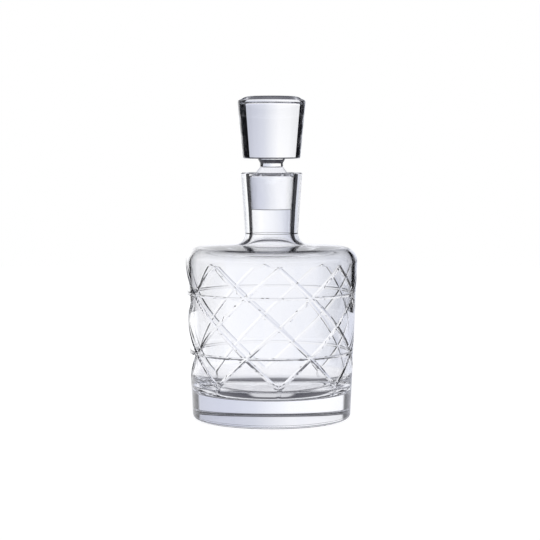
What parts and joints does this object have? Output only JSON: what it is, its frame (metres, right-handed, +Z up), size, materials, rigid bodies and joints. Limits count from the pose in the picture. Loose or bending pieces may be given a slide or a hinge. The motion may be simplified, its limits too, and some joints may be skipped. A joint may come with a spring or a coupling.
{
  "type": "decanter",
  "caption": "Clear cut-glass decanter with a thick base, a slightly flared round body, a diamond pattern of cuts, a narrow neck and a solid ground-glass stopper with a tapered head.",
  "frame": {"origin": "centre of the base, on the plane of the standing ring", "axes": "+Z up along the common axis of the body and the stopper; -Y is the viewing side, where one crossing of the cuts stands 4.9 degrees towards +X"},
  "size_m": [0.1181, 0.1182, 0.222],
  "materials": {
    "clear_glass": "clear, polished, with polished cuts"
  },
  "bodies": {
    "decanter": {"glass_body": "clear_glass"},
    "stopper": {"stopper": "clear_glass"}
  },
  "joints": [
    {"name": "stopper_lift", "type": "slide", "parent": "decanter", "child": "stopper", "axis": [0, 0, 1], "range_m": [0, 0.06]}
  ]
}
